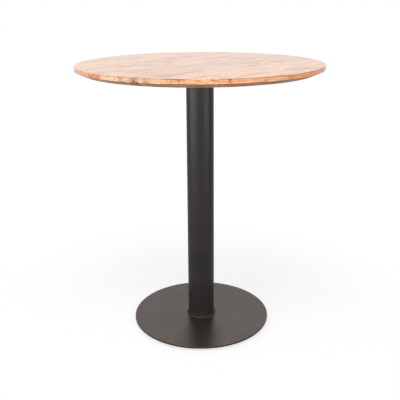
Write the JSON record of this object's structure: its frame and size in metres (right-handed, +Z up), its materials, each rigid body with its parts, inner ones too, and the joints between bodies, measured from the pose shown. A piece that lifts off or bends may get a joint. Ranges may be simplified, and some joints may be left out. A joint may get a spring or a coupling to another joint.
{
  "type": "round restaurant table",
  "caption": "Round wooden table top on a steel column with a flat round base plate and screw-adjusted levelling feet.",
  "frame": {"origin": "on the floor, on the column's axis", "axes": "+Z up along the column; -Y faces the viewer; +X is the viewer's right"},
  "size_m": [0.674, 0.674, 0.76],
  "materials": {
    "mango_wood": "satin lacquer",
    "insert_brass": "machined",
    "black_powder_coat": "fine-textured powder coat",
    "zinc_steel": "zinc plated",
    "foot_nylon": "moulded",
    "sole_plastic": "moulded"
  },
  "bodies": {
    "table": {"top_board_1": "mango_wood", "top_board_2": "mango_wood", "top_board_3": "mango_wood", "top_board_4": "mango_wood", "top_board_5": "mango_wood", "top_board_6": "mango_wood", "top_board_7": "mango_wood", "top_board_8": "mango_wood", "threaded_inserts": "insert_brass", "top_plate": "black_powder_coat", "plate_screws": "zinc_steel", "plate_washers": "zinc_steel", "top_weld": "black_powder_coat", "column_tube": "black_powder_coat", "base_weld": "black_powder_coat", "base_plate": "black_powder_coat", "foot_bosses": "black_powder_coat"},
    "sole_1": {"foot_sole_1": "sole_plastic"},
    "sole_2": {"foot_sole_2": "sole_plastic"},
    "sole_3": {"foot_sole_3": "sole_plastic"},
    "sole_4": {"foot_sole_4": "sole_plastic"},
    "foot_1": {"foot_stud_1": "zinc_steel", "foot_body_1": "foot_nylon"},
    "foot_2": {"foot_stud_2": "zinc_steel", "foot_body_2": "foot_nylon"},
    "foot_3": {"foot_stud_3": "zinc_steel", "foot_body_3": "foot_nylon"},
    "foot_4": {"foot_stud_4": "zinc_steel", "foot_body_4": "foot_nylon"}
  },
  "joints": [
    {"name": "foot_1_height", "type": "slide", "parent": "table", "child": "sole_1", "axis": [0, 0, -1], "range_m": [0, 0.003]},
    {"name": "foot_2_height", "type": "slide", "parent": "table", "child": "sole_2", "axis": [0, 0, -1], "range_m": [0, 0.003]},
    {"name": "foot_3_height", "type": "slide", "parent": "table", "child": "sole_3", "axis": [0, 0, -1], "range_m": [0, 0.003]},
    {"name": "foot_4_height", "type": "slide", "parent": "table", "child": "sole_4", "axis": [0, 0, -1], "range_m": [0, 0.003]},
    {"name": "foot_1_turn", "type": "hinge", "parent": "sole_1", "child": "foot_1", "pos_m": [0.11314, 0.11314, 0.005], "axis": [0, 0, -1], "range_deg": [0, 864]},
    {"name": "foot_2_turn", "type": "hinge", "parent": "sole_2", "child": "foot_2", "pos_m": [-0.11314, 0.11314, 0.005], "axis": [0, 0, -1], "range_deg": [0, 864]},
    {"name": "foot_3_turn", "type": "hinge", "parent": "sole_3", "child": "foot_3", "pos_m": [-0.11314, -0.11314, 0.005], "axis": [0, 0, -1], "range_deg": [0, 864]},
    {"name": "foot_4_turn", "type": "hinge", "parent": "sole_4", "child": "foot_4", "pos_m": [0.11314, -0.11314, 0.005], "axis": [0, 0, -1], "range_deg": [0, 864]}
  ],
  "couplings": [
    {"joint": "foot_1_turn", "follows": "foot_1_height", "rad_per_m": 5026.5},
    {"joint": "foot_2_turn", "follows": "foot_2_height", "rad_per_m": 5026.5},
    {"joint": "foot_3_turn", "follows": "foot_3_height", "rad_per_m": 5026.5},
    {"joint": "foot_4_turn", "follows": "foot_4_height", "rad_per_m": 5026.5}
  ]
}
